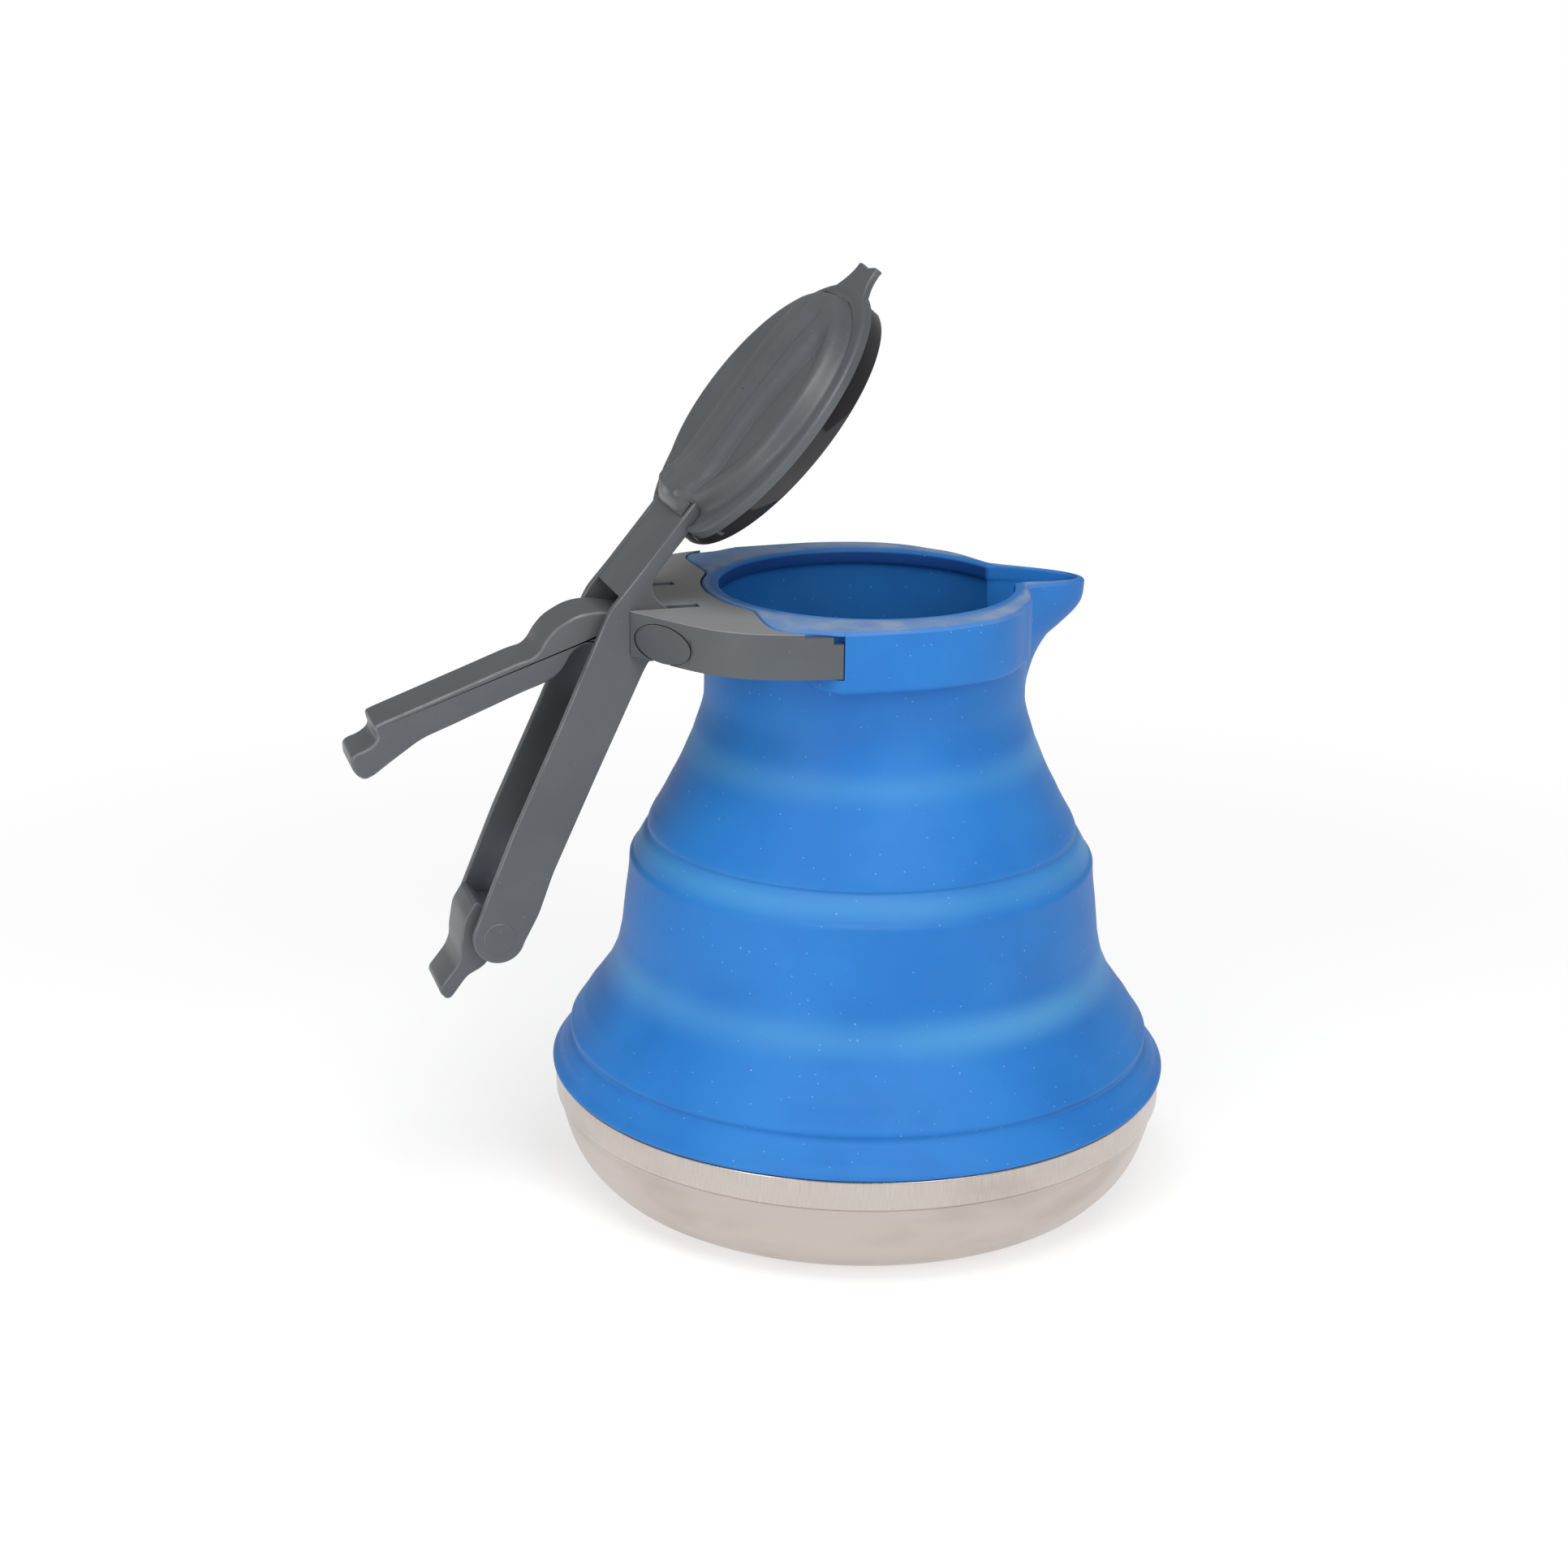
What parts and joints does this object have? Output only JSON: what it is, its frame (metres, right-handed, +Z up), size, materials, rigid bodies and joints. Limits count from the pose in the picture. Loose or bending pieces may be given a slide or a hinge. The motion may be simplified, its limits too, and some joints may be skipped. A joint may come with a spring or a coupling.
{
  "type": "collapsible kettle",
  "caption": "Folding camp kettle: steel pan, stepped silicone body with spout, hinged lid on a two-part handle with a latch.",
  "frame": {"origin": "centre of the pan's flat underside", "axes": "+Z up, +X along the spout, -X along the handle"},
  "size_m": [0.2391, 0.181, 0.2674],
  "materials": {
    "brushed_steel": "fine upright brushing over satin",
    "ring_steel": "plain",
    "blue_silicone": "satin",
    "grey_plastic": "satin",
    "dark_plastic": "gloss"
  },
  "bodies": {
    "base": {"steel_pan": "brushed_steel", "clamp_ring": "ring_steel", "silicone_skirt": "blue_silicone", "silicone_fold_lower": "blue_silicone"},
    "middle": {"silicone_mid_ring": "blue_silicone", "silicone_fold_upper": "blue_silicone"},
    "collar": {"silicone_collar": "blue_silicone", "yoke": "grey_plastic", "hinge_pin_left": "grey_plastic", "hinge_pin_right": "grey_plastic"},
    "lever": {"lid_lever": "grey_plastic", "latch_pin": "grey_plastic", "lid_cover": "grey_plastic", "lid_plug": "dark_plastic"},
    "arm": {"carry_arm": "grey_plastic"},
    "latch": {"latch": "grey_plastic"}
  },
  "joints": [
    {"name": "collapse_lower", "type": "slide", "parent": "base", "child": "middle", "axis": [0, 0, -1], "range_m": [0, 0.032], "deforming": ["silicone_fold_lower"]},
    {"name": "collapse_upper", "type": "slide", "parent": "middle", "child": "collar", "axis": [0, 0, -1], "range_m": [0, 0.032], "deforming": ["silicone_fold_upper"]},
    {"name": "lid_hinge", "type": "hinge", "parent": "collar", "child": "lever", "pos_m": [-0.0666, 0, 0.171], "axis": [0, 1, 0], "range_deg": [0, 50.8]},
    {"name": "arm_hinge", "type": "hinge", "parent": "collar", "child": "arm", "pos_m": [-0.0666, 0, 0.171], "axis": [0, 1, 0], "range_deg": [0, 10.5]},
    {"name": "latch_hinge", "type": "hinge", "parent": "lever", "child": "latch", "pos_m": [-0.1104, 0, 0.08691], "axis": [0, 1, 0], "range_deg": [0, 28]}
  ],
  "couplings": [
    {"joint": "arm_hinge", "follows": "lid_hinge", "ratio": 0.2066}
  ]
}
